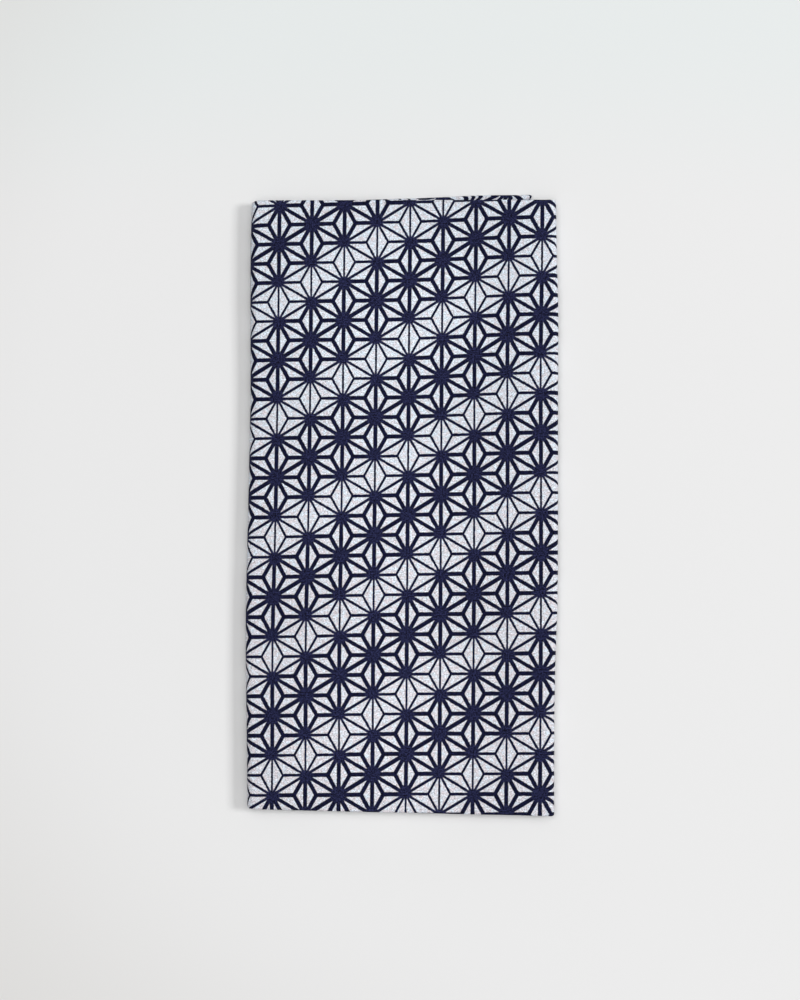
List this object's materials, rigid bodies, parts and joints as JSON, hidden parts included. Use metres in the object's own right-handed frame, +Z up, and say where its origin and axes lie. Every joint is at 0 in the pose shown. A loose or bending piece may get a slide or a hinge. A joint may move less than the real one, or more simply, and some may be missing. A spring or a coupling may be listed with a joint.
{
  "type": "folded tenugui towel",
  "caption": "Thin cotton hand towel folded in quarters along its length and in three across, lying flat as a narrow packet, with a printed hemp-leaf lattice.",
  "frame": {"origin": "middle of the bounding box's underside, on the surface that the towel lies on", "axes": "+Z up out of the face, +Y along the long side to the head, where the outer flap peeks out, +X across to the right edge"},
  "size_m": [0.1154, 0.229, 0.0068],
  "materials": {
    "printed_cotton": "plain-woven cotton, dyed dark blue on white, matte"
  },
  "bodies": {
    "root": {"towel": "printed_cotton"}
  },
  "joints": []
}
